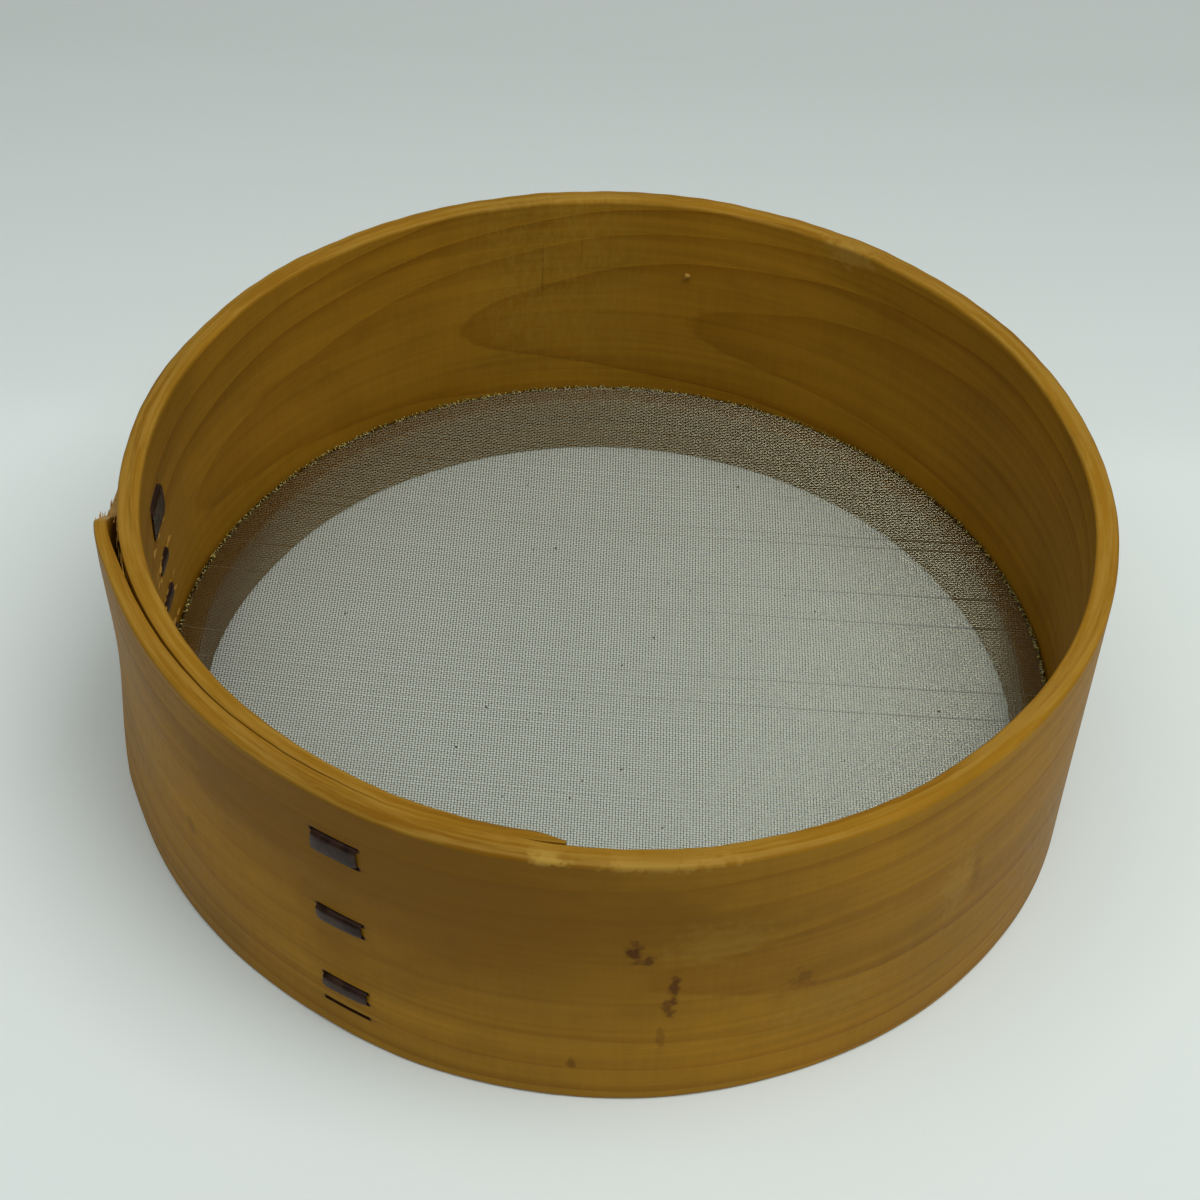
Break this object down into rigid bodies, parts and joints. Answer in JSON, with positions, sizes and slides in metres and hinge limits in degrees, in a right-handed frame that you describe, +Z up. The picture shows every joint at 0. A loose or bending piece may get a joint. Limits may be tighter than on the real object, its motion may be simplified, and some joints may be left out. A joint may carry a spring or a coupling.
{
  "type": "soil sieve",
  "caption": "Round bentwood sieve: a laced wooden hoop with a woven wire cloth clamped across it near the bottom by a lower inner ring.",
  "frame": {"origin": "middle of the hoop, on the surface that it stands on", "axes": "+Z up, from the cloth's end towards the open rim; -Y is the side with the visible row of stitches, +X to the right of it"},
  "size_m": [0.2124, 0.2097, 0.073],
  "materials": {
    "board_wood": "aged honey-coloured softwood, satin",
    "ring_wood": "aged honey-coloured softwood, matt",
    "woven_wire": "plain woven wire, dull bright",
    "bark": "dark red-brown cherry bark, half gloss"
  },
  "bodies": {
    "root": {"hoop": "board_wood", "clamping_ring": "ring_wood", "wire_cloth": "woven_wire", "wire_cloth_hem": "woven_wire", "front_lacing": "bark", "end_lacing": "bark"}
  },
  "joints": []
}
